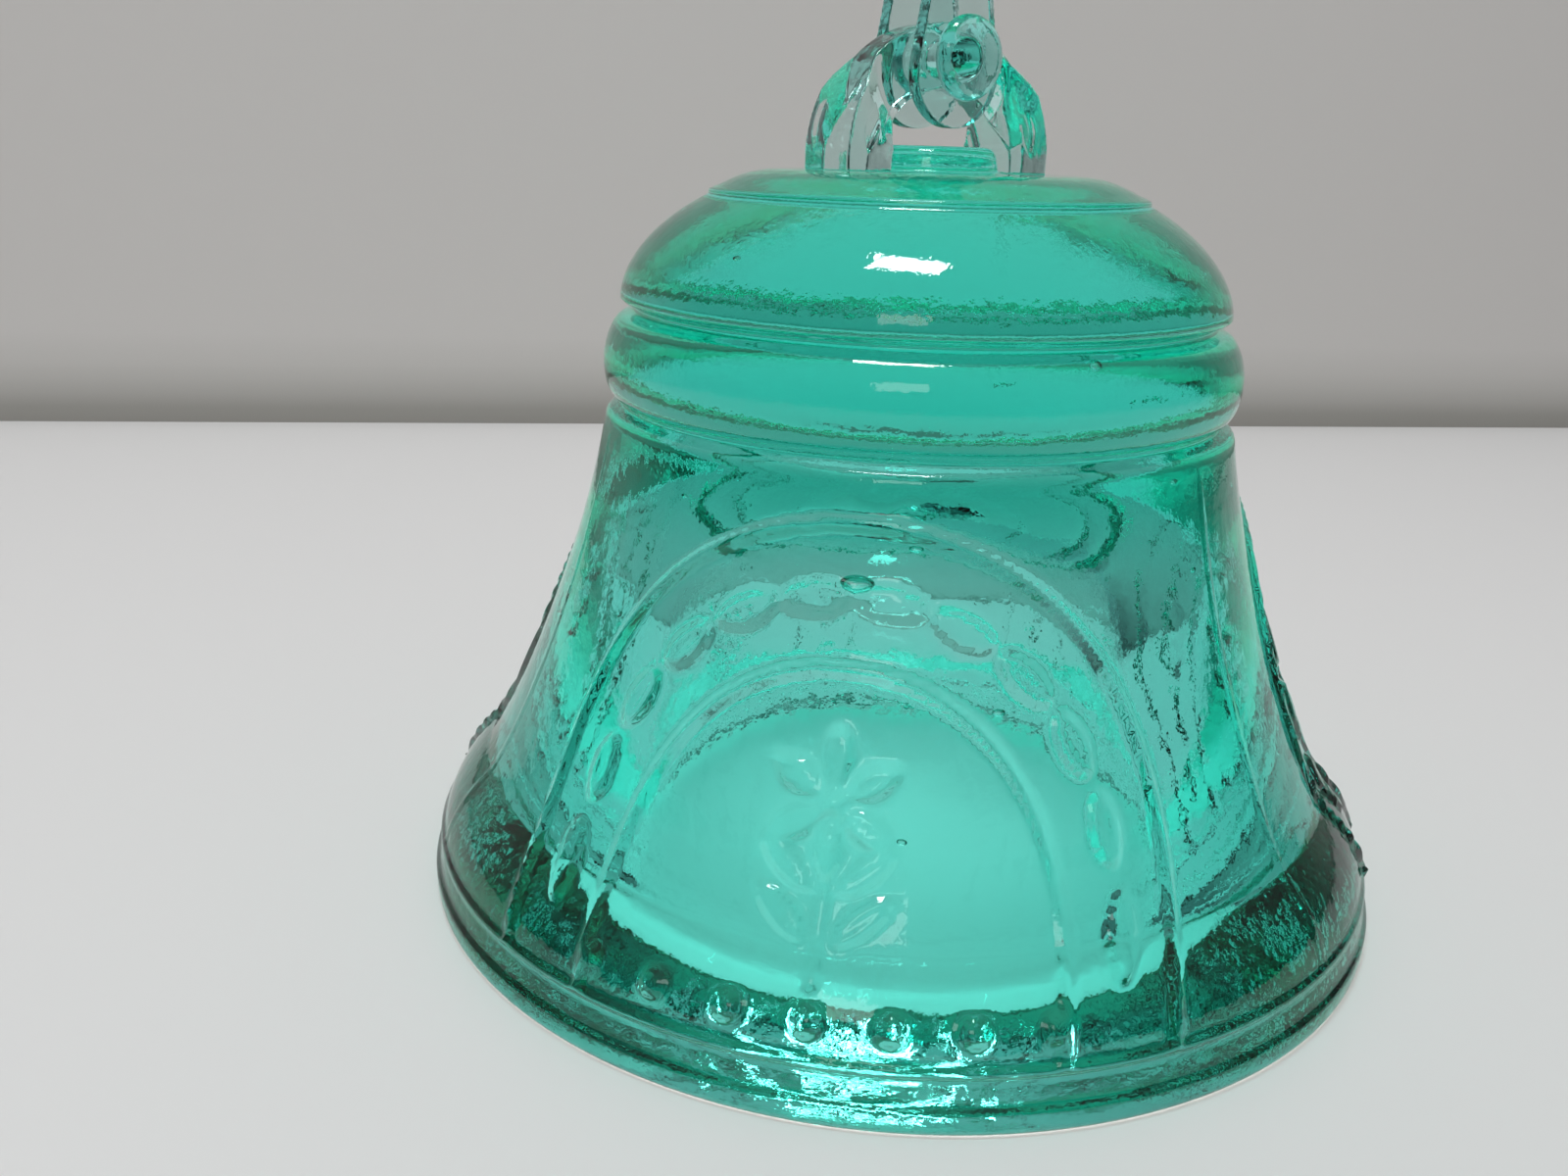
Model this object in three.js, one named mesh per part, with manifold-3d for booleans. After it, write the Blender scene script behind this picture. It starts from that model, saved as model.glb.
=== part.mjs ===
// Glass bell with a crown loop and a pinned hanger fork.
// Millimetres, +Z up. The origin is the centre of the mouth, on the surface the bell stands on.
// The crown loop lies in the XZ plane and the hanger pin runs along Y, its round head towards -Y.
import * as THREE from 'three';
import { mergeVertices } from 'three/addons/utils/BufferGeometryUtils.js';
import Module from 'manifold-3d';

const wasm = await Module();
wasm.setup();

// ---- driving dimensions ----
const FOOT_RADIUS = 50;
const FOOT_HEIGHT = 2.2;
const FOOT_CHAMFER = 0.7;
const BORDER_LINE_Z = 5.3;
const BORDER_LINE_RADIUS = 49.4;
const BOW_TOP = { r: 44.2, z: 13 };
const WAIST = { r: 31.6, z: 47.5 };
const LOWER_GROOVE = { r: 29.9, z: 49.7 };
const UPPER_GROOVE = { r: 28.6, z: 58.8 };
const DOME_START = { r: 30, z: 59.6 };
const CAP_EDGE = { r: 21.4, z: 69.5 };
const PLATFORM_RADIUS = 14;
const PLATFORM_Z = 72;
const CROWN_BOSS = { r: 6.6, topRadius: 5.4, z: 74.4 };
const CAVITY_TOP_Z = 43.5;
const CAVITY_SHOULDER = { r: 23, z: 28.5 };
const CAVITY_MOUTH = { r: 30.2, z: 3.2 };
const MOUTH_EDGE = { r: 32.6, z: 1 };
const REST_RING_INNER_RADIUS = 34;
const SHELL_SEGMENTS = 60;
const SECTION_STEPS = 3;

const GAP = 0.3;
const LOOP_THICKNESS = 7.1;
const LOOP_OUTER_RADIUS = 12.4;
const LOOP_OUTER_CENTRE_Z = 73;
const LOOP_INNER_RADIUS = 7.35;
const LOOP_FOOT_Z = PLATFORM_Z + GAP;
const LOOP_BEVEL = 0.5;
const FOOT_PAD = { inner: 7.1, outer: 12.7, halfDepth: 3.7, height: 0.8 };
const APEX_THICKNESS = 3.4;
const APEX_FLAT_RADIUS = 8.2;
const APEX_SLOPE_RADIUS = 11;

const PIN_Z = 82.2;
const PIN_RADIUS = 1.5;
const PIN_CLEARANCE = 0.1;
const PIN_HEAD_RADIUS = 3.8;
const PIN_HEAD_HEIGHT = 2.6;
const CAP_RADIUS = 3.2;
const CAP_HEIGHT = 2;
const CAP_SOCKET_DEPTH = 1.1;
const ROUND_SEGMENTS = 28;

const CHEEK_THICKNESS = 1.6;
const CHEEK_INNER_Y = APEX_THICKNESS / 2 + GAP;
const CHEEK_OUTER_Y = CHEEK_INNER_Y + CHEEK_THICKNESS;
const CHEEK_ROUND_RADIUS = 4.9;
const CHEEK_ROUND_Z = PIN_Z - 1.3;
const CHEEK_TOP_HALF_WIDTH = 2.7;
const BRIDGE_UNDERSIDE_Z = PIN_Z + 8;
const BRIDGE_TOP_Z = BRIDGE_UNDERSIDE_Z + 3;
const EYE_INNER_RADIUS = 3.3;
const EYE_RADIUS = 5.8;
const EYE_THICKNESS = 4.4;
const EYE_Z = BRIDGE_TOP_Z + EYE_RADIUS - 1.2;

const PANELS = 3;
const FIRST_PANEL_DEG = -47;
const ARCH = { halfWidth: 26, height: 33.5, leaves: 12, fromDeg: 14, toDeg: 166 };
const ARCH_LEAF = { length: 6.6, width: 3, relief: 0.7 };
const FLOWER = { z: 23, petals: 6, radius: 3.4, length: 5.2, width: 2.8, relief: 0.7 };
const SPRIG = { levels: [14.7, 18.2], across: 3.3, turnDeg: 38, length: 6, width: 2.4, relief: 0.7 };
const BEADS = { z: 8.2, count: 7, stepDeg: 8, radius: 1.25, relief: 0.6 };

const glass = (colour) => new THREE.MeshStandardMaterial({ color: colour, roughness: 0.05, metalness: 0 });

// ---- helpers ----
function toSolid(geometry) {
  const bare = geometry.index ? geometry.toNonIndexed() : geometry.clone();
  bare.deleteAttribute('normal');
  bare.deleteAttribute('uv');
  const merged = mergeVertices(bare, 1e-4);
  return new wasm.Manifold(new wasm.Mesh({
    numProp: 3,
    vertProperties: new Float32Array(merged.attributes.position.array),
    triVerts: new Uint32Array(merged.index.array),
  }));
}

function toGeometry(solid) {
  const { vertProperties, triVerts } = solid.getMesh();
  const geometry = new THREE.BufferGeometry();
  geometry.setAttribute('position', new THREE.BufferAttribute(vertProperties, 3));
  geometry.setIndex(new THREE.BufferAttribute(triVerts, 1));
  geometry.computeVertexNormals();
  return geometry;
}

// A section in the XZ plane made into a slab of the given thickness, centred on y = 0.
function slab(shape, thickness, bevel = 0) {
  const geometry = new THREE.ExtrudeGeometry(shape, {
    depth: thickness - 2 * bevel,
    bevelEnabled: bevel > 0,
    bevelThickness: bevel,
    bevelSize: bevel,
    bevelOffset: -bevel,
    bevelSegments: 2,
    curveSegments: ROUND_SEGMENTS / 2,
  });
  geometry.translate(0, 0, -(thickness - 2 * bevel) / 2);
  return geometry.rotateX(Math.PI / 2);
}

// A round bar along Y at height z, from yFrom to yTo; its far end may have another radius.
function barAlongY(radius, yFrom, yTo, z, radiusTo = radius) {
  const bar = new THREE.CylinderGeometry(radiusTo, radius, yTo - yFrom, ROUND_SEGMENTS);
  return bar.translate(0, (yFrom + yTo) / 2, z);
}

function box(xFrom, xTo, yFrom, yTo, zFrom, zTo) {
  const block = new THREE.BoxGeometry(xTo - xFrom, yTo - yFrom, zTo - zFrom);
  return block.translate((xFrom + xTo) / 2, (yFrom + yTo) / 2, (zFrom + zTo) / 2);
}

// ---- bell shell ----
function outerSection(path) {
  path.lineTo(FOOT_RADIUS, FOOT_CHAMFER);
  path.lineTo(FOOT_RADIUS, FOOT_HEIGHT);
  path.lineTo(FOOT_RADIUS - 0.45, FOOT_HEIGHT + 0.35);
  path.lineTo(BORDER_LINE_RADIUS - 0.3, BORDER_LINE_Z - 0.5);
  path.lineTo(BORDER_LINE_RADIUS, BORDER_LINE_Z);
  path.lineTo(BORDER_LINE_RADIUS - 0.5, BORDER_LINE_Z + 0.5);
  path.bezierCurveTo(48.3, 8.4, 46.3, 11, BOW_TOP.r, BOW_TOP.z);
  path.bezierCurveTo(41, 17.5, 34, 34, WAIST.r, WAIST.z);
  path.quadraticCurveTo(31.4, 48.8, LOWER_GROOVE.r, LOWER_GROOVE.z);
  path.lineTo(30.9, 50.5);
  path.bezierCurveTo(32, 52, 32, 56, 30.2, 57.8);
  path.lineTo(UPPER_GROOVE.r, UPPER_GROOVE.z);
  path.lineTo(DOME_START.r, DOME_START.z);
  path.bezierCurveTo(29.6, 63.6, 26, 67, CAP_EDGE.r, CAP_EDGE.z);
  path.lineTo(CAP_EDGE.r - 0.1, CAP_EDGE.z + 0.5);
  path.bezierCurveTo(19.6, 70.6, 18, PLATFORM_Z, PLATFORM_RADIUS, PLATFORM_Z);
  path.lineTo(CROWN_BOSS.r, PLATFORM_Z);
  path.quadraticCurveTo(CROWN_BOSS.r, CROWN_BOSS.z, CROWN_BOSS.topRadius, CROWN_BOSS.z);
  path.lineTo(0, CROWN_BOSS.z);
}

function shellSection() {
  const path = new THREE.Path();
  path.moveTo(0, CAVITY_TOP_Z);
  path.bezierCurveTo(8, CAVITY_TOP_Z, 18, 42.5, CAVITY_SHOULDER.r, CAVITY_SHOULDER.z);
  path.lineTo(CAVITY_MOUTH.r, CAVITY_MOUTH.z);
  path.lineTo(MOUTH_EDGE.r, MOUTH_EDGE.z);
  path.lineTo(REST_RING_INNER_RADIUS, 0);
  path.lineTo(FOOT_RADIUS - FOOT_CHAMFER, 0);
  outerSection(path);
  return path.getPoints(SECTION_STEPS);
}

// The outside wall's radius and outward lean at a height, read from its own outline.
function wallAt(z) {
  const path = new THREE.Path();
  path.moveTo(FOOT_RADIUS - FOOT_CHAMFER, 0);
  outerSection(path);
  const points = path.getPoints(SECTION_STEPS);
  const above = points.findIndex((point) => point.y >= z);
  const [low, high] = [points[above - 1], points[above]];
  const share = (z - low.y) / (high.y - low.y);
  return {
    radius: THREE.MathUtils.lerp(low.x, high.x, share),
    lean: Math.atan2(low.x - high.x, high.y - low.y),
  };
}

// A low oval boss on the wall. turn is the angle of its long side from level.
function boss(azimuthDeg, z, turn, length, width, relief) {
  const { radius, lean } = wallAt(z);
  const oval = new THREE.SphereGeometry(1, 8, 4).rotateX(Math.PI / 2);
  oval.scale(length / 2, width / 2, relief);
  oval.rotateZ(turn);
  oval.rotateX(Math.PI / 2 - lean);
  oval.translate(0, -radius, z);
  oval.rotateZ(THREE.MathUtils.degToRad(azimuthDeg));
  return toSolid(oval);
}

// Azimuth of a point that lies across millimetres to the side of a panel's centre line.
function azimuthAt(centreDeg, across, z) {
  return centreDeg + THREE.MathUtils.radToDeg(across / wallAt(z).radius);
}

function archOfLeaves(centreDeg) {
  const leaves = [];
  for (let i = 0; i < ARCH.leaves; i += 1) {
    const aroundDeg = ARCH.fromDeg + (i * (ARCH.toDeg - ARCH.fromDeg)) / (ARCH.leaves - 1);
    const around = THREE.MathUtils.degToRad(aroundDeg);
    const z = BORDER_LINE_Z + ARCH.height * Math.sin(around);
    const azimuth = azimuthAt(centreDeg, ARCH.halfWidth * Math.cos(around), z);
    const turn = Math.atan2(ARCH.height * Math.cos(around), -ARCH.halfWidth * Math.sin(around));
    leaves.push(boss(azimuth, z, turn, ARCH_LEAF.length, ARCH_LEAF.width, ARCH_LEAF.relief));
  }
  return leaves;
}

function flower(centreDeg) {
  const petals = [];
  for (let i = 0; i < FLOWER.petals; i += 1) {
    const turn = Math.PI / 2 + (i * 2 * Math.PI) / FLOWER.petals;
    const z = FLOWER.z + FLOWER.radius * Math.sin(turn);
    const azimuth = azimuthAt(centreDeg, FLOWER.radius * Math.cos(turn), z);
    petals.push(boss(azimuth, z, turn, FLOWER.length, FLOWER.width, FLOWER.relief));
  }
  return petals;
}

function sprig(centreDeg) {
  const leaves = [];
  for (const side of [-1, 1]) {
    const turn = THREE.MathUtils.degToRad(90 - side * (90 - SPRIG.turnDeg));
    for (const z of SPRIG.levels) {
      const azimuth = azimuthAt(centreDeg, side * SPRIG.across, z);
      leaves.push(boss(azimuth, z, turn, SPRIG.length, SPRIG.width, SPRIG.relief));
    }
  }
  return leaves;
}

function beads(centreDeg) {
  const row = [];
  for (let i = 0; i < BEADS.count; i += 1) {
    const azimuth = centreDeg + (i - (BEADS.count - 1) / 2) * BEADS.stepDeg;
    row.push(boss(azimuth, BEADS.z, 0, 2 * BEADS.radius, 2 * BEADS.radius, BEADS.relief));
  }
  return row;
}

function bellShell() {
  const turned = new THREE.LatheGeometry(shellSection(), SHELL_SEGMENTS).rotateX(Math.PI / 2);
  let solid = toSolid(turned);
  for (let panel = 0; panel < PANELS; panel += 1) {
    const centreDeg = FIRST_PANEL_DEG + (panel * 360) / PANELS;
    const ornament = [archOfLeaves, flower, sprig, beads].flatMap((motif) => motif(centreDeg));
    for (const raised of ornament) {
      solid = solid.add(raised);
    }
  }
  return toGeometry(solid);
}

// ---- crown loop ----
function archShape() {
  const shape = new THREE.Shape();
  shape.moveTo(LOOP_OUTER_RADIUS, LOOP_FOOT_Z);
  shape.absarc(0, LOOP_OUTER_CENTRE_Z, LOOP_OUTER_RADIUS, 0, Math.PI, false);
  shape.lineTo(-LOOP_OUTER_RADIUS, LOOP_FOOT_Z);
  shape.absarc(0, LOOP_FOOT_Z, LOOP_INNER_RADIUS, Math.PI, 0, true);
  return shape;
}

function crownLoop() {
  const half = LOOP_THICKNESS / 2;
  let solid = toSolid(slab(archShape(), LOOP_THICKNESS, LOOP_BEVEL));
  for (const side of [-1, 1]) {
    const [near, far] = side < 0 ? [-FOOT_PAD.outer, -FOOT_PAD.inner] : [FOOT_PAD.inner, FOOT_PAD.outer];
    solid = solid.add(toSolid(
      box(near, far, -FOOT_PAD.halfDepth, FOOT_PAD.halfDepth, LOOP_FOOT_Z, LOOP_FOOT_Z + FOOT_PAD.height),
    ));
  }
  const scoop = barAlongY(APEX_FLAT_RADIUS, APEX_THICKNESS / 2, half, PIN_Z, APEX_SLOPE_RADIUS);
  const clear = barAlongY(APEX_SLOPE_RADIUS, half - 0.05, half + 1, PIN_Z);
  for (const cut of [scoop, clear]) {
    solid = solid.subtract(toSolid(cut)).subtract(toSolid(cut.clone().rotateZ(Math.PI)));
  }
  return toGeometry(solid.subtract(toSolid(barAlongY(PIN_RADIUS + PIN_CLEARANCE, -half - 1, half + 1, PIN_Z))));
}

// ---- hanger fork ----
// Round below the pin, then straight sides that touch the round and taper up to the bridge.
function cheekShape() {
  const rise = BRIDGE_TOP_Z - CHEEK_ROUND_Z;
  const reach = Math.hypot(CHEEK_TOP_HALF_WIDTH, rise);
  const toTop = Math.atan2(rise, CHEEK_TOP_HALF_WIDTH);
  const touch = toTop - Math.acos(CHEEK_ROUND_RADIUS / reach);
  const shape = new THREE.Shape();
  shape.moveTo(CHEEK_TOP_HALF_WIDTH, BRIDGE_TOP_Z);
  shape.lineTo(-CHEEK_TOP_HALF_WIDTH, BRIDGE_TOP_Z);
  shape.absarc(0, CHEEK_ROUND_Z, CHEEK_ROUND_RADIUS, Math.PI - touch, 2 * Math.PI + touch, false);
  return shape;
}

function hangerFork() {
  const cheekBevel = 0.35;
  const cheeks = [-1, 1].map((side) => {
    const cheek = slab(cheekShape(), CHEEK_THICKNESS, cheekBevel);
    return toSolid(cheek.translate(0, (side * (CHEEK_INNER_Y + CHEEK_OUTER_Y)) / 2, 0));
  });
  const bridge = toSolid(box(
    -CHEEK_TOP_HALF_WIDTH, CHEEK_TOP_HALF_WIDTH, -CHEEK_OUTER_Y + cheekBevel, CHEEK_OUTER_Y - cheekBevel,
    BRIDGE_UNDERSIDE_Z, BRIDGE_TOP_Z,
  ));
  const ring = new THREE.Shape();
  ring.absarc(0, EYE_Z, EYE_RADIUS, 0, 2 * Math.PI, false);
  const eye = toSolid(slab(ring, EYE_THICKNESS, 1));
  const hole = toSolid(barAlongY(EYE_INNER_RADIUS, -EYE_THICKNESS, EYE_THICKNESS, EYE_Z));
  const bore = toSolid(barAlongY(PIN_RADIUS + PIN_CLEARANCE, -CHEEK_OUTER_Y - 1, CHEEK_OUTER_Y + 1, PIN_Z));
  return toGeometry(cheeks[0].add(cheeks[1]).add(bridge).add(eye).subtract(hole).subtract(bore));
}

// ---- hanger pin and its rear cap ----
function headUnderside() {
  return CHEEK_OUTER_Y + GAP;
}

// A flat-bottomed dome along +Y in a lathe outline, from its rim to its crown on the axis.
function domeOutline(path, radius, from, height) {
  const edge = 0.3;
  path.lineTo(radius, from + edge);
  path.bezierCurveTo(radius, from + height * 0.75, radius * 0.6, from + height, 0, from + height);
}

function hangerPin() {
  const path = new THREE.Path();
  path.moveTo(0, -headUnderside() - CAP_SOCKET_DEPTH + GAP);
  path.lineTo(PIN_RADIUS, -headUnderside() - CAP_SOCKET_DEPTH + GAP);
  path.lineTo(PIN_RADIUS, headUnderside());
  path.lineTo(PIN_HEAD_RADIUS, headUnderside());
  domeOutline(path, PIN_HEAD_RADIUS, headUnderside(), PIN_HEAD_HEIGHT);
  return new THREE.LatheGeometry(path.getPoints(SECTION_STEPS), ROUND_SEGMENTS).rotateZ(Math.PI);
}

function pinCap() {
  const path = new THREE.Path();
  path.moveTo(0, headUnderside() + CAP_SOCKET_DEPTH);
  path.lineTo(PIN_RADIUS + PIN_CLEARANCE, headUnderside() + CAP_SOCKET_DEPTH);
  path.lineTo(PIN_RADIUS + PIN_CLEARANCE, headUnderside());
  path.lineTo(CAP_RADIUS, headUnderside());
  domeOutline(path, CAP_RADIUS, headUnderside(), CAP_HEIGHT);
  return new THREE.LatheGeometry(path.getPoints(SECTION_STEPS), ROUND_SEGMENTS);
}

// ---- assembly ----
function part(name, geometry, colour) {
  const mesh = new THREE.Mesh(geometry, glass(colour));
  mesh.name = name;
  return mesh;
}

const bell = new THREE.Group();
bell.add(part('bell_shell', bellShell(), 0x2fb89a));
bell.add(part('crown_loop', crownLoop(), 0x8fd3c4));

const hanger = new THREE.Group();
hanger.add(part('hanger_fork', hangerFork(), 0x9bd8cb));
const pin = part('hanger_pin', hangerPin(), 0x5fb9a8);
const cap = part('pin_cap', pinCap(), 0x5fb9a8);
pin.position.z = PIN_Z;
cap.position.z = PIN_Z;
hanger.add(pin, cap);

const group = new THREE.Group();
group.add(bell, hanger);

export default group;
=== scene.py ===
"""Looks of the glass bell: a pressed teal shell with moulded relief, fused crown loop, hanger fork and pin.

Lengths in the outlines are design millimetres, turned into metres by MM, which comes from the frame.
Azimuths are measured from -Y towards +X.
"""

import math

import bmesh
import bpy
import numpy as np
from mathutils import Matrix, Vector

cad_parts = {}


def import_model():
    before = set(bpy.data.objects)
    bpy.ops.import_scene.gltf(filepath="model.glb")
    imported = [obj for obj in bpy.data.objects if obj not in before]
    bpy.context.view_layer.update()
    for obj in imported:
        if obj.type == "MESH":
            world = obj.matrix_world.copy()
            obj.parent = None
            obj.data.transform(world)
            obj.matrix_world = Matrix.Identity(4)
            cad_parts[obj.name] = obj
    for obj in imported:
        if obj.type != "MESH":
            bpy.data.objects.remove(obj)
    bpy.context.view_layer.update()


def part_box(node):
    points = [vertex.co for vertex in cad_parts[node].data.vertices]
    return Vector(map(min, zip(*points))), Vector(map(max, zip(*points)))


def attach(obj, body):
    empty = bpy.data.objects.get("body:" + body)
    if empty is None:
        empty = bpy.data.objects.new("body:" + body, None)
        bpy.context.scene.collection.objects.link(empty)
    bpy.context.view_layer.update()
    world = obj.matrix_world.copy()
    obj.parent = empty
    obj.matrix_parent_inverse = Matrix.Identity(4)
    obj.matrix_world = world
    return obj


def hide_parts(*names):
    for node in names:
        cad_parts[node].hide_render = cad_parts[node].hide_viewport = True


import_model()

# ---- sizes read from the frame ----
SHELL_LOW, SHELL_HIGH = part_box("bell_shell")
FORK_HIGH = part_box("hanger_fork")[1]
PIN_LOW, PIN_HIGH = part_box("hanger_pin")
FOOT_RADIUS = 50.0
MM = (SHELL_HIGH.x - SHELL_LOW.x) / (2 * FOOT_RADIUS)
PIN_Z = (PIN_LOW.z + PIN_HIGH.z) / 2 / MM

# ---- bell shell, design millimetres ----
COLUMNS = 528
TURNED_COLUMNS = 96
BORDER_LINE_Z = 5.3
BOW_TOP = (44.2, 13.0)
WAIST = (31.6, 47.5)
LOWER_GROOVE = (29.9, 49.7)
UPPER_GROOVE = (28.6, 58.8)
CAP_EDGE = (21.4, 69.5)
PLATFORM_Z = 72.0
CROWN_BOSS_Z = 74.4
CAVITY_TOP_Z = 43.5
FOOT_EDGE_ROUND = 0.8
RELIEF_TOP_Z = 47.0
PANELS = 3
FIRST_PANEL = math.radians(-47)
RELIEF = 0.62
SEAM_HEIGHT = 0.1
RIPPLE_WAVES = 9
WALL_RIPPLE = 0.05
CAVITY_RIPPLE = 0.14
BUBBLES = 40
BIG_BUBBLE = {"z": 39.4, "azimuth": FIRST_PANEL, "size": 0.9}
BUBBLE_STRETCH = 1.7

# ---- crown loop, design millimetres ----
LOOP_CENTRE = (0, 73)
LOOP_RADIUS = 12.4
LOOP_HOLE_CENTRE = (0, 72.3)
LOOP_HOLE_RADIUS = 7.35
LOOP_HALF_DEPTH = 3.55
CREST_HALF_DEPTH = 1.7
SCOOP_RADIUS = 8.2
SCOOP_RIM_RADIUS = 11
FLUTE = {"start": 3, "end": 33, "radius": 10.1, "half_width": 0.8}
FLUTE_DEPTH = 0.55
BORE_RADIUS = 1.65
CUTTER_REACH = 6

# ---- hanger, design millimetres ----
CHEEK_RADIUS = 4.9
CHEEK_ROUND_Z = PIN_Z - 1.3
CHEEK_HALF_TOP = 2.7
CHEEK_NEAR, CHEEK_FAR = 2.0, 3.6
BRIDGE_Z = PIN_Z + 8
CHEEK_TOP_Z = BRIDGE_Z + 3
BRIDGE_TOP_Z = CHEEK_TOP_Z + 0.4
BRIDGE_HALF_DEPTH = 3.5
HANGING_EYE = {"radius": 5.8, "hole_radius": 3.2, "half_depth": 2.2}
PIN_RADIUS = 1.5

# ---- glass: densities are per metre, the depth of the skin's waves is in metres ----
BELL_DENSITY = 50
HANGER_DENSITY = 150
ABSORBED_TO = (0.0, 0.915, 0.84)
LAMP_TINT = (0.85, 0.68, 0.68)
SKIN_SCALE = 600
SKIN_DEPTH = 0.00005

# ---- camera in design millimetres, stage in metres except for the wall's distance ----
FLOOR_Z = -0.0001
CAMERA_PLACE = (-89.2, -106.3, 73.6)
CAMERA_HEADING = math.radians(34.66)
CAMERA_PITCH = math.radians(17.89)
CAMERA_ROLL = math.radians(1.63)
CAMERA_LENS = 31.1
FLOOR_REACH = 3.0
WALL_DISTANCE = 240.0
WALL_HEADING = math.radians(27.5)
WALL_HALF_WIDTH = 1.5
WALL_HEIGHT = 0.5
# Table colour by distance from the bell: painted shade, pale within 0.42 m and fading to dark grey by 0.85
# m.
TABLE_PAINTED_SHADE_GREYS = ((0.42, (0.8, 0.8, 0.8)), (0.85, (0.2, 0.2, 0.2)))
# Wall colour by height in metres: painted corner shade at the foot, rising to the wall's even grey above 24
# mm.
WALL_PAINTED_SHADE_GREYS = (
    (0.003, (0.36, 0.35, 0.325)),
    (0.008, (0.5, 0.49, 0.465)),
    (0.014, (0.63, 0.615, 0.59)),
    (0.024, (0.72, 0.7, 0.68)),
)
ROOM_GREYS = ((0.0, (0.12, 0.12, 0.12)), (0.35, (0.4, 0.4, 0.41)), (0.95, (1, 1, 1)))
ROOM_STRENGTH = 0.45
LAMP_DISTANCE = 0.9
LAMPS = (
    {"name": "ceiling_panel", "azimuth": -60, "elevation": 80, "size": (0.30, 0.16), "power": 4.2},
    {"name": "window", "azimuth": -45, "elevation": 27, "size": (0.26, 0.18), "power": 0.4},
)


# ---- outline helpers ----
class Outline:
    """A run of (radius, height) points made of straight and curved stretches."""

    def __init__(self, start):
        self.points = [start]

    def line(self, end, steps=1):
        start = self.points[-1]
        for i in range(1, steps + 1):
            t = i / steps
            self.points.append((start[0] + (end[0] - start[0]) * t, start[1] + (end[1] - start[1]) * t))

    def curve(self, first, second, end, steps):
        start = self.points[-1]
        for i in range(1, steps + 1):
            t = i / steps
            share = ((1 - t) ** 3, 3 * (1 - t) ** 2 * t, 3 * (1 - t) * t * t, t ** 3)
            knots = (start, first, second, end)
            self.points.append(tuple(sum(w * k[axis] for w, k in zip(share, knots)) for axis in (0, 1)))

    def array(self):
        return np.array(self.points, float)


def cavity_outline():
    """The plunger's hollow from its rounded top on the axis down to the resting ring."""
    run = Outline((0.0, CAVITY_TOP_Z))
    run.curve((8, CAVITY_TOP_Z), (18, 42.5), (23, 28.5), 28)
    run.line((30.2, 3.2), 24)
    run.curve((30.4, 1.6), (31.2, 1.5), (32, 1.2), 6)
    run.curve((32.8, 0.9), (33.2, 0), (34, 0), 6)
    run.line((FOOT_RADIUS - FOOT_EDGE_ROUND, 0), 6)
    return run


def wall_outline():
    """The outside from the resting ring up to the crown boss on the axis."""
    run = Outline((FOOT_RADIUS - FOOT_EDGE_ROUND, 0.0))
    run.curve((FOOT_RADIUS - 0.2, 0), (FOOT_RADIUS, 0.2), (FOOT_RADIUS, FOOT_EDGE_ROUND), 4)
    run.line((FOOT_RADIUS, 1.9), 2)
    run.curve((FOOT_RADIUS, 2.3), (49.6, 2.35), (49.5, 2.7), 4)
    run.curve((49.4, 3.3), (49.2, 4.2), (49.05, 4.6), 3)
    run.curve((49.1, 4.9), (49.4, 5), (49.35, BORDER_LINE_Z), 3)
    run.curve((49.25, 5.6), (48.95, 5.7), (48.85, 6.0), 3)
    run.curve((48.3, 8.4), (46.3, 11), BOW_TOP, 17)
    run.curve((41, 17.5), (34, 34), WAIST, 76)
    run.curve((31.5, 48.6), (31.2, 48.9), (30.6, 49.2), 5)
    run.curve((29.9, 49.45), (29.7, 49.8), LOWER_GROOVE, 3)
    run.curve((30, 50.2), (30.6, 50.1), (30.9, 50.6), 4)
    run.curve((32, 52), (32, 56), (30.2, 57.8), 14)
    run.curve((29.6, 58.3), (28.7, 58.2), UPPER_GROOVE, 5)
    run.curve((28.6, 59.3), (29.8, 59.1), (30, 59.7), 5)
    run.curve((29.6, 63.6), (26, 67), CAP_EDGE, 16)
    run.curve((21.5, 69.8), (21.4, 70), (21.0, 70.1), 3)
    run.curve((19.4, 70.7), (18, PLATFORM_Z), (14, PLATFORM_Z), 8)
    run.line((7.4, PLATFORM_Z), 4)
    run.curve((6.9, PLATFORM_Z), (6.7, 72.1), (6.6, 72.6), 4)
    run.curve((6.5, 73.8), (6.2, CROWN_BOSS_Z), (5.2, CROWN_BOSS_Z), 6)
    run.line((0, CROWN_BOSS_Z), 4)
    return run


def normals_of(points):
    """Unit normals to the right of a run's direction: away from the glass on every stretch."""
    along = np.gradient(points, axis=0)
    across = np.stack([along[:, 1], -along[:, 0]], axis=1)
    return across / np.maximum(np.linalg.norm(across, axis=1), 1e-9)[:, None]


# ---- moulded relief: every function takes and gives arrays in design millimetres ----
def bump(distance, half_width):
    """1 on the line, 0 at half_width from it, with a round top and a soft foot."""
    inside = np.clip(1 - np.abs(distance) / half_width, 0, 1)
    return inside * inside * (3 - 2 * inside)


def ellipse_line(x, z, half_width, height, thick):
    """A raised line along an ellipse that is centred on the border line."""
    u = x / half_width
    v = (z - BORDER_LINE_Z) / height
    size = np.sqrt(u * u + v * v) + 1e-9
    slope = np.sqrt((u / half_width) ** 2 + (v / height) ** 2) / size
    return bump((size - 1) / np.maximum(slope, 1e-6), thick / 2)


def leaf(x, z, centre, turn, length, width):
    """A pointed leaf with a rounded back and a sunk midrib."""
    along = (x - centre[0]) * math.cos(turn) + (z - centre[1]) * math.sin(turn)
    across = -(x - centre[0]) * math.sin(turn) + (z - centre[1]) * math.cos(turn)
    share = np.clip(1 - (2 * along / length) ** 2, 0, 1)
    half = width / 2 * share ** 0.8 + 1e-6
    body = np.clip(1 - (across / half) ** 2, 0, 1) ** 0.6 * np.clip(share * 3, 0, 1)
    midrib = 0.45 * bump(across, 0.45) * np.clip(share * 1.5, 0, 1)
    return body * (1 - midrib)


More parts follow.
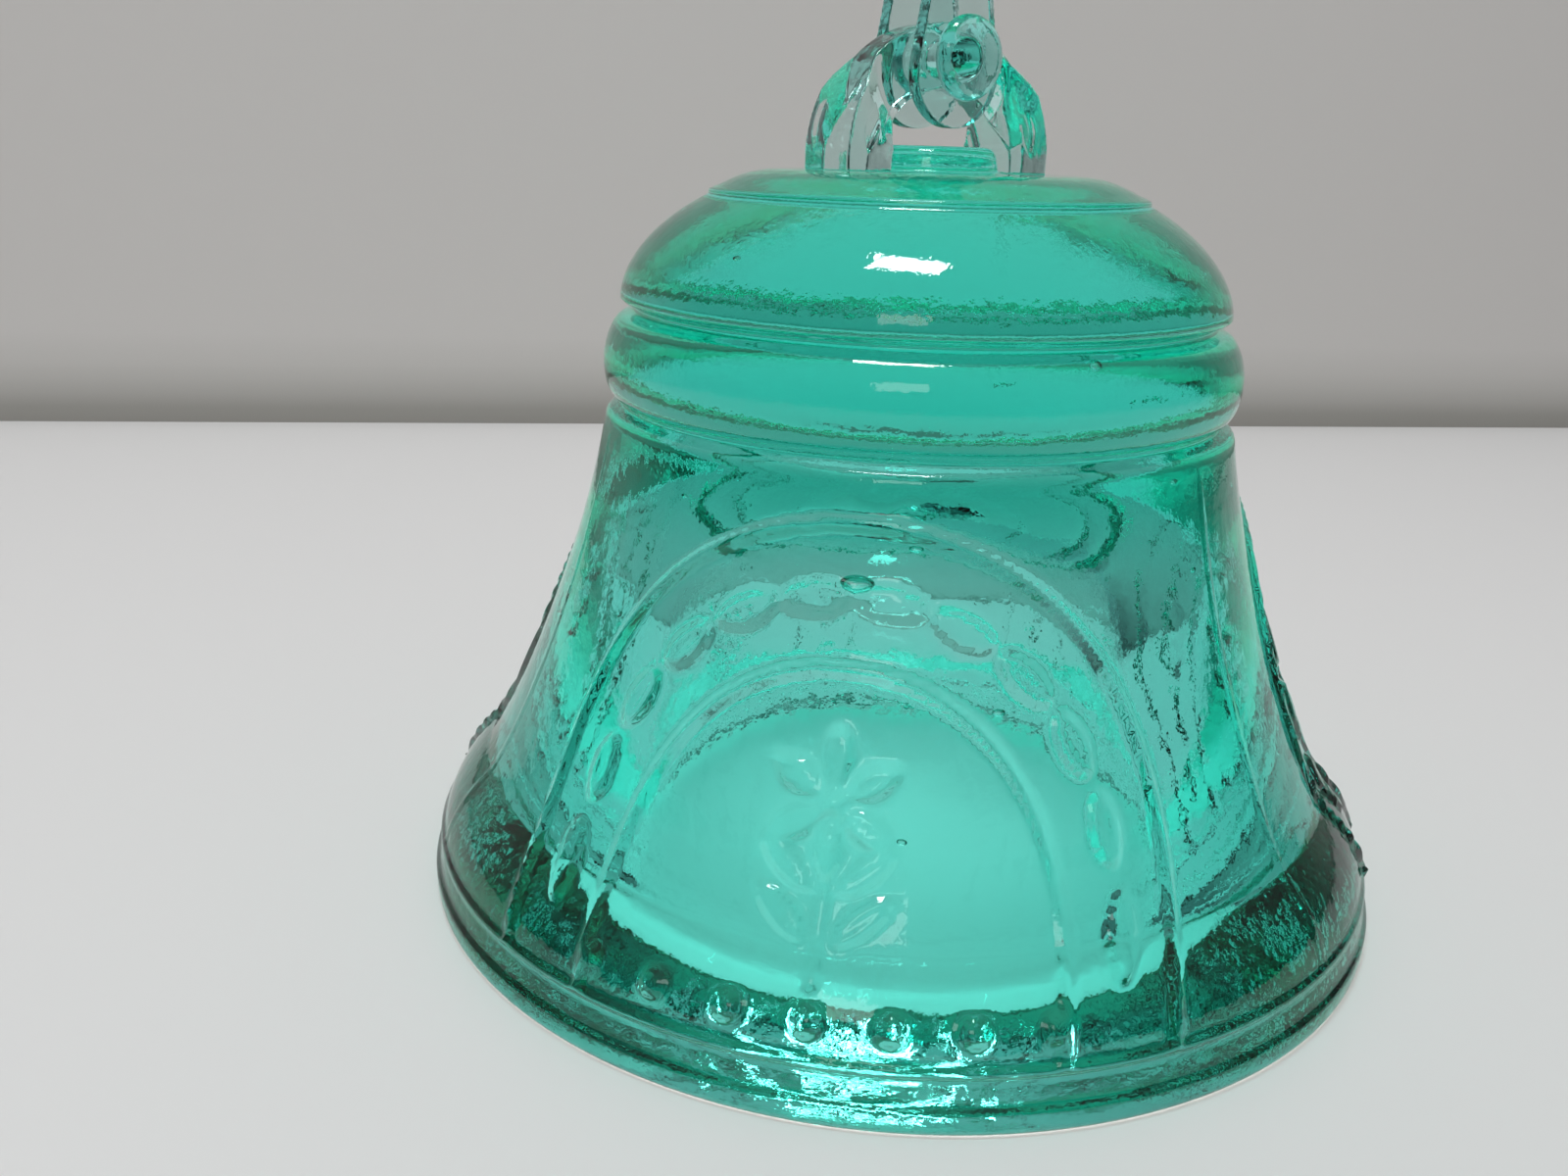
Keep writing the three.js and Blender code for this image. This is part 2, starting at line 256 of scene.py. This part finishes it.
def bead(x, z, centre, radius):
    """A round bead, 1 at its middle."""
    far = ((x - centre[0]) ** 2 + (z - centre[1]) ** 2) / radius ** 2
    return np.sqrt(np.clip(1 - far, 0, 1))


def stem(x, z, start, end, thick):
    """A straight raised stem between two points."""
    dx, dz = end[0] - start[0], end[1] - start[1]
    share = np.clip(((x - start[0]) * dx + (z - start[1]) * dz) / (dx * dx + dz * dz), 0, 1)
    distance = np.hypot(x - start[0] - share * dx, z - start[1] - share * dz)
    return bump(distance, thick / 2)


ARCH = {"half_width": 26.0, "height": 33.5, "leaves": 12, "first": 14.0, "last": 166.0}
ARCH_LEAF = {"length": 6.6, "width": 3.0}
FLOWER = {"z": 23.0, "petals": 6, "radius": 3.4, "length": 5.2, "width": 2.8}
SPRIG = {"z": (12.5, 16.0), "reach": 4.4, "length": 6.0, "width": 2.4, "turn": 38.0}
BEADS = {"z": 8.2, "count": 7, "step": 8.0, "radius": 1.25}


def arch_of_leaves(x, z):
    """Leaves laid end to end between two raised lines."""
    height = np.maximum(ellipse_line(x, z, 31, 39.5, 1.3), ellipse_line(x, z, 21, 28, 1.3))
    for i in range(ARCH["leaves"]):
        around = math.radians(ARCH["first"] + i * (ARCH["last"] - ARCH["first"]) / (ARCH["leaves"] - 1))
        place = (ARCH["half_width"] * math.cos(around), BORDER_LINE_Z + ARCH["height"] * math.sin(around))
        run = (-ARCH["half_width"] * math.sin(around), ARCH["height"] * math.cos(around))
        turn = math.atan2(run[1], run[0])
        height = np.maximum(height, leaf(x, z, place, turn, **ARCH_LEAF))
    return height


def flower_on_sprig(x, z):
    """A six-petalled flower on a stem with two pairs of leaves."""
    height = stem(x, z, (0, 10.5), (0, FLOWER["z"] - 2), 1.3)
    for i in range(FLOWER["petals"]):
        around = math.pi / 2 + i * 2 * math.pi / FLOWER["petals"]
        place = (FLOWER["radius"] * math.cos(around), FLOWER["z"] + FLOWER["radius"] * math.sin(around))
        height = np.maximum(height, leaf(x, z, place, around, FLOWER["length"], FLOWER["width"]))
    height = np.maximum(height, 1.1 * bead(x, z, (0, FLOWER["z"]), 1.3))
    for side in (-1, 1):
        for level in SPRIG["z"]:
            turn = math.radians(90 - side * (90 - SPRIG["turn"]))
            place = (side * SPRIG["reach"] * 0.75, level + SPRIG["reach"] * 0.5)
            height = np.maximum(height, leaf(x, z, place, turn, SPRIG["length"], SPRIG["width"]))
    return height


def row_of_beads(x, z, radius_there):
    """Beads evenly spaced round the foot of a panel."""
    height = np.zeros_like(x)
    for i in range(BEADS["count"]):
        offset = math.radians((i - (BEADS["count"] - 1) / 2) * BEADS["step"])
        height = np.maximum(height, bead(x - offset * radius_there, z, (0, BEADS["z"]), BEADS["radius"]))
    return height


def relief(azimuth, radius, z):
    """Height of the mould's ornament over the plain wall."""
    height = np.zeros_like(z)
    for panel in range(PANELS):
        centre = FIRST_PANEL + panel * 2 * math.pi / PANELS
        offset = (azimuth - centre + math.pi) % (2 * math.pi) - math.pi
        x = offset * radius
        motif = np.maximum(arch_of_leaves(x, z), 1.35 * flower_on_sprig(x, z))
        motif = np.maximum(motif, row_of_beads(x, z, radius))
        seam = offset - math.pi / PANELS
        height = np.maximum(height, RELIEF * motif)
        height = np.maximum(height, SEAM_HEIGHT * bump(seam * radius, 0.4))
    return height * (z > BORDER_LINE_Z) * (z < RELIEF_TOP_Z)


def ripple(azimuth, z, seed, size):
    """The slow unevenness of pressed glass."""
    draw = np.random.RandomState(seed)
    height = np.zeros_like(z)
    for _ in range(RIPPLE_WAVES):
        turns = draw.randint(2, 15)
        rise = draw.uniform(-0.35, 0.35)
        phase = draw.uniform(0, 2 * math.pi)
        height += np.cos(turns * azimuth + rise * z + phase) * draw.uniform(0.3, 1)
    return size * height / 3


def fade(z, low, high):
    """0 below low, 1 above high, smooth between."""
    t = np.clip((z - low) / (high - low), 0, 1)
    return t * t * (3 - 2 * t)


# ---- mesh helpers ----
def link(name, mesh):
    piece = bpy.data.objects.new(name, mesh)
    bpy.context.scene.collection.objects.link(piece)
    return piece


def smooth(mesh):
    mesh.polygons.foreach_set("use_smooth", [True] * len(mesh.polygons))
    mesh.update()


def settle(piece):
    """Applies a piece's modifiers to its mesh."""
    bpy.context.view_layer.update()
    graph = bpy.context.evaluated_depsgraph_get()
    mesh = bpy.data.meshes.new_from_object(piece.evaluated_get(graph))
    piece.modifiers.clear()
    piece.data = mesh
    return piece


def combine(piece, tool, operation):
    """Joins tool to piece or cuts it away, and removes tool."""
    change = piece.modifiers.new("combine", "BOOLEAN")
    change.operation = operation
    change.solver = "EXACT"
    change.object = tool
    settle(piece)
    bpy.data.objects.remove(tool)
    return piece


def fire_polish(piece, voxel, passes):
    """Fuses a piece into one skin and softens its edges."""
    fuse = piece.modifiers.new("fuse", "REMESH")
    fuse.mode = "VOXEL"
    fuse.voxel_size = voxel * MM
    soften = piece.modifiers.new("soften", "SMOOTH")
    soften.factor = 0.5
    soften.iterations = passes
    settle(piece)
    smooth(piece.data)
    return piece


def arc(centre, radius, start, end, steps):
    """Points round a centre, angles in degrees from +X towards +Z."""
    for i in range(steps + 1):
        angle = math.radians(start + (end - start) * i / steps)
        yield centre[0] + radius * math.cos(angle), centre[1] + radius * math.sin(angle)


def slab(name, outline, y_from, y_to):
    """A closed plate: an outline in XZ given a thickness along Y."""
    shape = bmesh.new()
    near = [shape.verts.new((x * MM, y_from * MM, z * MM)) for x, z in outline]
    far = [shape.verts.new((x * MM, y_to * MM, z * MM)) for x, z in outline]
    shape.faces.new(near)
    shape.faces.new(list(reversed(far)))
    for i in range(len(near)):
        j = (i + 1) % len(near)
        shape.faces.new((near[j], near[i], far[i], far[j]))
    bmesh.ops.recalc_face_normals(shape, faces=shape.faces)
    mesh = bpy.data.meshes.new(name)
    shape.to_mesh(mesh)
    shape.free()
    return link(name, mesh)


def turned(name, points, columns, pin_side):
    """A solid turned about the pin's axis from a run that starts and ends on it, towards pin_side of Y."""
    shape = bmesh.new()
    rows = []
    for radius, level in points:
        if radius < 1e-6:
            rows.append([shape.verts.new((0, 0, level * MM))])
            continue
        ring = []
        for i in range(columns):
            angle = 2 * math.pi * i / columns
            place = (radius * MM * math.cos(angle), radius * MM * math.sin(angle), level * MM)
            ring.append(shape.verts.new(place))
        rows.append(ring)
    for low, high in zip(rows, rows[1:]):
        for i in range(columns):
            j = (i + 1) % columns
            corners = [low[i % len(low)], low[j % len(low)], high[j % len(high)], high[i % len(high)]]
            shape.faces.new(list(dict.fromkeys(corners)))
    for vert in shape.verts:
        x, y, z = vert.co
        vert.co = (x, pin_side * z, y + PIN_Z * MM)
    bmesh.ops.recalc_face_normals(shape, faces=shape.faces)
    mesh = bpy.data.meshes.new(name)
    shape.to_mesh(mesh)
    shape.free()
    smooth(mesh)
    return link(name, mesh)


# ---- bell ----
def shell_mesh(name):
    """The shell as one grid of rings, with the relief and the ripple moved along its normals."""
    cavity = cavity_outline().array()
    wall = wall_outline().array()
    points = np.concatenate([cavity, wall[1:]])
    normals = normals_of(points)
    outside = np.arange(len(points)) >= len(cavity)
    angles = np.arange(COLUMNS) * 2 * math.pi / COLUMNS
    azimuth, radius = np.meshgrid(angles, points[1:-1, 0])
    z = np.repeat(points[1:-1, 1:2], COLUMNS, axis=1)
    on_wall = np.repeat(outside[1:-1, None], COLUMNS, axis=1)
    lift = np.where(on_wall, relief(azimuth, radius, z), 0)
    wall_waves = ripple(azimuth, z, seed=5, size=WALL_RIPPLE)
    cavity_waves = ripple(azimuth, z, seed=11, size=CAVITY_RIPPLE)
    waves = np.where(on_wall, wall_waves, cavity_waves)
    lift += waves * fade(z, 6, 14) * fade(PLATFORM_Z - z, 0.5, 5)
    radial = (radius + lift * normals[1:-1, 0:1]) * MM
    height = (z + lift * normals[1:-1, 1:2]) * MM
    rings = np.stack([radial * np.sin(azimuth), -radial * np.cos(azimuth), height], axis=-1)
    poles = np.array([[0, 0, points[0, 1] * MM], [0, 0, points[-1, 1] * MM]])
    vertices = np.concatenate([rings.reshape(-1, 3), poles])
    rows = len(points) - 2
    faces = []
    for row in range(rows - 1):
        for column in range(COLUMNS):
            after = (column + 1) % COLUMNS
            here, above = row * COLUMNS, (row + 1) * COLUMNS
            faces.append((here + column, here + after, above + after, above + column))
    first, last = rows * COLUMNS, rows * COLUMNS + 1
    top = (rows - 1) * COLUMNS
    for column in range(COLUMNS):
        after = (column + 1) % COLUMNS
        faces.append((first, after, column))
        faces.append((last, top + column, top + after))
    mesh = bpy.data.meshes.new(name)
    mesh.from_pydata(vertices.tolist(), [], faces)
    smooth(mesh)
    return mesh


def crescent(leg, start, end, radius, half_width):
    """Outline of a thin crescent that follows one leg of the loop."""
    steps = 12
    swell = [(start + (end - start) * i / steps, math.sin(math.pi * i / steps)) for i in range(steps + 1)]
    rim = [(angle, radius + half_width * rise) for angle, rise in swell]
    rim += [(angle, radius - half_width * rise) for angle, rise in reversed(swell[1:-1])]
    return [
        (leg * r * math.cos(math.radians(a)), LOOP_CENTRE[1] + r * math.sin(math.radians(a)))
        for a, r in rim
    ]


def scoop_outline():
    """Half-section of the tool that thins the loop's crest, with a sloping rim."""
    run = Outline((0.0, CREST_HALF_DEPTH))
    run.line((SCOOP_RADIUS, CREST_HALF_DEPTH), 4)
    run.line((SCOOP_RIM_RADIUS, LOOP_HALF_DEPTH), 4)
    run.line((SCOOP_RIM_RADIUS, LOOP_HALF_DEPTH + 1))
    run.line((0, LOOP_HALF_DEPTH + 1))
    return run


def pin_bore():
    """The tool that drills the pin's bore, long enough to pass through the loop or the fork."""
    return slab("bore", list(arc((0, PIN_Z), BORE_RADIUS, 0, 350, 35)), -CUTTER_REACH, CUTTER_REACH)


def crown_loop(name):
    """The arch over the cap, scooped thin at its crest for the fork, with a crescent flute down each leg."""
    outside = list(arc(LOOP_CENTRE, LOOP_RADIUS, -10, 190, 56))
    inside = list(arc(LOOP_HOLE_CENTRE, LOOP_HOLE_RADIUS, 186, -6, 44))
    loop = slab(name, outside + inside, -LOOP_HALF_DEPTH, LOOP_HALF_DEPTH)
    for side in (-1, 1):
        combine(loop, turned("scoop", scoop_outline().points, TURNED_COLUMNS, side), "DIFFERENCE")
        for leg in (-1, 1):
            face = sorted((side * (LOOP_HALF_DEPTH - FLUTE_DEPTH), side * (LOOP_HALF_DEPTH + 1)))
            combine(loop, slab("flute", crescent(leg, **FLUTE), *face), "DIFFERENCE")
    combine(loop, pin_bore(), "DIFFERENCE")
    return fire_polish(loop, voxel=0.18, passes=4)


def add_bubbles(mesh):
    """Adds small voids to the glass just under the wall, as closed skins that face into the void."""
    draw = np.random.RandomState(3)
    wall = wall_outline().array()
    shape = bmesh.new()
    places = [(BIG_BUBBLE["z"], BIG_BUBBLE["azimuth"], BIG_BUBBLE["size"])]
    for _ in range(BUBBLES):
        places.append((draw.uniform(16, 68), draw.uniform(0, 2 * math.pi), draw.uniform(0.12, 0.4)))
    for z, azimuth, size in places:
        radius = np.interp(z, wall[:, 1], wall[:, 0]) - draw.uniform(1.6, 2.6)
        made = bmesh.ops.create_icosphere(shape, subdivisions=3, radius=size * MM)
        stretch = Matrix.Diagonal((BUBBLE_STRETCH, 1, 1, 1))
        turn = Matrix.Rotation(azimuth, 4, "Z")
        centre = Vector((radius * math.sin(azimuth), -radius * math.cos(azimuth), z))
        place = Matrix.Translation(centre * MM)
        bmesh.ops.transform(shape, matrix=place @ turn @ stretch, verts=made["verts"])
    bmesh.ops.reverse_faces(shape, faces=shape.faces)
    shape.from_mesh(mesh)
    shape.to_mesh(mesh)
    shape.free()


def bell_glass():
    """Shell and crown loop fused into one glass body, as they come out of the mould."""
    bell = link("bell_glass", shell_mesh("bell_glass"))
    combine(bell, crown_loop("loop"), "UNION")
    add_bubbles(bell.data)
    smooth(bell.data)
    return bell


# ---- hanger ----
def cheek_outline():
    """A round end about the pin, with straight sides that leave it at a tangent and lean in to the top."""
    rise = CHEEK_TOP_Z - CHEEK_ROUND_Z
    reach = math.hypot(CHEEK_HALF_TOP, rise)
    touch = math.degrees(math.atan2(rise, CHEEK_HALF_TOP) - math.acos(CHEEK_RADIUS / reach))
    outline = [(CHEEK_HALF_TOP, CHEEK_TOP_Z), (-CHEEK_HALF_TOP, CHEEK_TOP_Z)]
    outline += list(arc((0, CHEEK_ROUND_Z), CHEEK_RADIUS, 180 - touch, 360 + touch, 40))
    return outline


def fork_glass():
    """Two round-ended cheeks, the bridge over them and the hanging eye, drawn out of one gather."""
    outline = cheek_outline()
    fork = slab("hanger_fork_glass", outline, -CHEEK_FAR, -CHEEK_NEAR)
    combine(fork, slab("cheek", outline, CHEEK_NEAR, CHEEK_FAR), "UNION")
    half, low, high = CHEEK_HALF_TOP, BRIDGE_Z, BRIDGE_TOP_Z
    bridge = [(-half, low), (half, low), (half, high), (-half, high)]
    combine(fork, slab("bridge", bridge, -BRIDGE_HALF_DEPTH, BRIDGE_HALF_DEPTH), "UNION")
    centre = (0, FORK_HIGH.z / MM - HANGING_EYE["radius"])
    eye = list(arc(centre, HANGING_EYE["radius"], 0, 355, 71))
    combine(fork, slab("eye", eye, -HANGING_EYE["half_depth"], HANGING_EYE["half_depth"]), "UNION")
    hole = list(arc(centre, HANGING_EYE["hole_radius"], 0, 350, 35))
    combine(fork, slab("eye_hole", hole, -CUTTER_REACH, CUTTER_REACH), "DIFFERENCE")
    combine(fork, pin_bore(), "DIFFERENCE")
    return fire_polish(fork, voxel=0.15, passes=6)


def pin_glass():
    """The pin from its rear end to its head, whose back is rounded too."""
    run = Outline((0.0, -4.7))
    run.line((1.2, -4.7), 2)
    run.curve((1.4, -4.7), (PIN_RADIUS, -4.6), (PIN_RADIUS, -4.4), 3)
    run.line((PIN_RADIUS, 3.9), 10)
    run.curve((1.6, 3.95), (1.8, 3.95), (2.2, 4.0), 4)
    run.curve((3.1, 4.1), (3.8, 4.3), (3.8, 4.8), 12)
    run.curve((3.75, 5.9), (2.4, 6.5), (0, 6.5), 18)
    return turned("hanger_pin_glass", run.points, TURNED_COLUMNS, -1)


def cap_glass():
    """The round cap over the pin's rear end, with a socket for it."""
    run = Outline((0.0, 5.0))
    run.line((1.6, 5.0), 3)
    run.line((1.6, 3.9), 2)
    run.line((2.9, 3.9), 3)
    run.curve((3.1, 3.9), (3.2, 4.0), (3.2, 4.2), 3)
    run.curve((3.2, 5.3), (1.9, 5.9), (0, 5.9), 12)
    return turned("pin_cap_glass", run.points, TURNED_COLUMNS, 1)


# ---- materials ----
def tinted_glass(name, density):
    """Clear glass with the colour all through it; lamps shine straight through it, a little dimmed."""
    material = bpy.data.materials.new(name)
    material.use_nodes = True
    tree = material.node_tree
    shader = tree.nodes["Principled BSDF"]
    output = tree.nodes["Material Output"]
    volume = tree.nodes.new("ShaderNodeVolumeAbsorption")
    rays = tree.nodes.new("ShaderNodeLightPath")
    clear = tree.nodes.new("ShaderNodeBsdfTransparent")
    mix = tree.nodes.new("ShaderNodeMixShader")
    place = tree.nodes.new("ShaderNodeTexCoord")
    skin = tree.nodes.new("ShaderNodeTexNoise")
    bumps = tree.nodes.new("ShaderNodeBump")
    skin.inputs["Scale"].default_value = SKIN_SCALE
    skin.inputs["Detail"].default_value = 3
    bumps.inputs["Strength"].default_value = 1
    bumps.inputs["Distance"].default_value = SKIN_DEPTH
    tree.links.new(place.outputs["Object"], skin.inputs["Vector"])
    tree.links.new(skin.outputs["Fac"], bumps.inputs["Height"])
    tree.links.new(bumps.outputs["Normal"], shader.inputs["Normal"])
    shader.inputs["Base Color"].default_value = (1, 1, 1, 1)
    shader.inputs["Roughness"].default_value = 0.0
    shader.inputs["IOR"].default_value = 1.5
    shader.inputs["Transmission Weight"].default_value = 1.0
    clear.inputs["Color"].default_value = (*LAMP_TINT, 1)
    volume.inputs["Color"].default_value = (*ABSORBED_TO, 1)
    volume.inputs["Density"].default_value = density
    tree.links.new(rays.outputs["Is Shadow Ray"], mix.inputs["Fac"])
    tree.links.new(shader.outputs["BSDF"], mix.inputs[1])
    tree.links.new(clear.outputs["BSDF"], mix.inputs[2])
    tree.links.new(mix.outputs["Shader"], output.inputs["Surface"])
    tree.links.new(volume.outputs["Volume"], output.inputs["Volume"])
    return material


def matt(name, roughness, one_sided=False):
    """A dull stage material, which is clear from behind if one_sided."""
    material = bpy.data.materials.new(name)
    material.use_nodes = True
    tree = material.node_tree
    shader = tree.nodes["Principled BSDF"]
    shader.inputs["Roughness"].default_value = roughness
    if one_sided:
        side = tree.nodes.new("ShaderNodeNewGeometry")
        mix = tree.nodes.new("ShaderNodeMixShader")
        clear = tree.nodes.new("ShaderNodeBsdfTransparent")
        output = tree.nodes["Material Output"]
        tree.links.new(side.outputs["Backfacing"], mix.inputs["Fac"])
        tree.links.new(shader.outputs["BSDF"], mix.inputs[1])
        tree.links.new(clear.outputs["BSDF"], mix.inputs[2])
        tree.links.new(mix.outputs["Shader"], output.inputs["Surface"])
    return material


def fill_ramp(ramp, stops):
    """Puts the stops, given in rising order, on a fresh colour ramp."""
    marks = ramp.color_ramp.elements
    marks[0].position = stops[0][0]
    marks[1].position = stops[-1][0]
    for position, _ in stops[1:-1]:
        marks.new(position)
    for mark, (_, colour) in zip(marks, stops):
        mark.color = (*colour, 1)


def shade_by_place(material, axis, stops):
    """Paints shade into a stage material's colour by height, or by distance from the bell when axis is None.
    """
    tree = material.node_tree
    shader = tree.nodes["Principled BSDF"]
    place = tree.nodes.new("ShaderNodeNewGeometry")
    ramp = tree.nodes.new("ShaderNodeValToRGB")
    if axis is None:
        reach = tree.nodes.new("ShaderNodeVectorMath")
        reach.operation = "LENGTH"
        tree.links.new(place.outputs["Position"], reach.inputs[0])
        tree.links.new(reach.outputs["Value"], ramp.inputs["Fac"])
    else:
        split = tree.nodes.new("ShaderNodeSeparateXYZ")
        tree.links.new(place.outputs["Position"], split.inputs["Vector"])
        tree.links.new(split.outputs[axis], ramp.inputs["Fac"])
    fill_ramp(ramp, stops)
    tree.links.new(ramp.outputs["Color"], shader.inputs["Base Color"])


# ---- stage ----
def stage_plane(name, corners, material):
    """A flat four-cornered piece of the stage."""
    mesh = bpy.data.meshes.new(name)
    mesh.from_pydata([tuple(c) for c in corners], [], [(0, 1, 2, 3)])
    mesh.materials.append(material)
    piece = link(name, mesh)


def table_floor():
    """The pale table, with painted shade that fades it to grey far from the bell."""
    sides = ((-1, -1), (1, -1), (1, 1), (-1, 1))
    corners = [(x * FLOOR_REACH, y * FLOOR_REACH, FLOOR_Z) for x, y in sides]
    table = matt("table_white", 0.55)
    shade_by_place(table, None, TABLE_PAINTED_SHADE_GREYS)
    stage_plane("floor", corners, table)


def backdrop():
    """The grey wall behind the bell, with painted shade that darkens it where it meets the table."""
    out = Vector((math.sin(WALL_HEADING), math.cos(WALL_HEADING), 0))
    along = Vector((out.y, -out.x, 0))
    foot = out * WALL_DISTANCE * MM
    low_left, low_right = foot - along * WALL_HALF_WIDTH, foot + along * WALL_HALF_WIDTH
    rise = Vector((0, 0, WALL_HEIGHT))
    corners = [low_left, low_right, low_right + rise, low_left + rise]
    wall = matt("wall_grey", 0.9, one_sided=True)
    shade_by_place(wall, "Z", WALL_PAINTED_SHADE_GREYS)
    stage_plane("backdrop", corners, wall)


def area_light(name, azimuth, elevation, size, power):
    """A soft panel that faces the bell, seen from it at this azimuth and elevation in degrees."""
    data = bpy.data.lights.new(name, "AREA")
    data.shape = "RECTANGLE"
    data.size, data.size_y = size
    data.energy = power
    lamp = bpy.data.objects.new(name, data)
    bpy.context.scene.collection.objects.link(lamp)
    level = math.cos(math.radians(elevation))
    turn = math.radians(azimuth)
    towards = Vector((math.sin(turn) * level, -math.cos(turn) * level, math.sin(math.radians(elevation))))
    lamp.location = Vector((0, 0, 0.05)) + towards * LAMP_DISTANCE
    lamp.rotation_euler = towards.to_track_quat("Z", "Y").to_euler()


def world():
    """A pale room: bright overhead, dimmer towards the horizon."""
    room = bpy.data.worlds.new("room")
    bpy.context.scene.world = room
    room.use_nodes = True
    tree = room.node_tree
    background = tree.nodes["Background"]
    place = tree.nodes.new("ShaderNodeTexCoord")
    split = tree.nodes.new("ShaderNodeSeparateXYZ")
    ramp = tree.nodes.new("ShaderNodeValToRGB")
    tree.links.new(place.outputs["Generated"], split.inputs["Vector"])
    tree.links.new(split.outputs["Z"], ramp.inputs["Fac"])
    fill_ramp(ramp, ROOM_GREYS)
    tree.links.new(ramp.outputs["Color"], background.inputs["Color"])
    background.inputs["Strength"].default_value = ROOM_STRENGTH


def camera():
    """Puts the camera where the photograph's was, with its roll."""
    data = bpy.data.cameras.new("camera")
    data.lens = CAMERA_LENS
    data.sensor_width = 36
    data.clip_start = 0.005
    eye = bpy.data.objects.new("camera", data)
    bpy.context.scene.collection.objects.link(eye)
    level = math.cos(CAMERA_PITCH)
    forward = Vector((
        math.sin(CAMERA_HEADING) * level, math.cos(CAMERA_HEADING) * level, -math.sin(CAMERA_PITCH),
    ))
    right = forward.cross(Vector((0, 0, 1))).normalized()
    up = right.cross(forward)
    rolled_right = right * math.cos(CAMERA_ROLL) + up * math.sin(CAMERA_ROLL)
    rolled_up = up * math.cos(CAMERA_ROLL) - right * math.sin(CAMERA_ROLL)
    place = Vector(CAMERA_PLACE) * MM
    eye.matrix_world = Matrix((
        (rolled_right.x, rolled_up.x, -forward.x, place.x),
        (rolled_right.y, rolled_up.y, -forward.y, place.y),
        (rolled_right.z, rolled_up.z, -forward.z, place.z),
        (0, 0, 0, 1),
    ))
    bpy.context.scene.camera = eye


def cycles_quality():
    scene = bpy.context.scene
    scene.view_settings.view_transform = "Standard"
    scene.cycles.max_bounces = 24
    scene.cycles.transmission_bounces = 24
    scene.cycles.transparent_max_bounces = 24
    scene.cycles.use_denoising = True


# ---- assembly ----
def dress(piece, body, nodes, material):
    """Gives a piece its glass, its body and the CAD nodes it stands for."""
    piece.data.materials.clear()
    piece.data.materials.append(material)
    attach(piece, body)
    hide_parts(*nodes)


BELL_GLASS = tinted_glass("teal_glass", BELL_DENSITY)
HANGER_GLASS = tinted_glass("pale_glass", HANGER_DENSITY)
dress(bell_glass(), "bell", ("bell_shell", "crown_loop"), BELL_GLASS)
dress(fork_glass(), "hanger", ("hanger_fork",), HANGER_GLASS)
dress(pin_glass(), "pin", ("hanger_pin",), HANGER_GLASS)
dress(cap_glass(), "pin", ("pin_cap",), HANGER_GLASS)
table_floor()
backdrop()
for lamp in LAMPS:
    area_light(**lamp)
world()
camera()
cycles_quality()
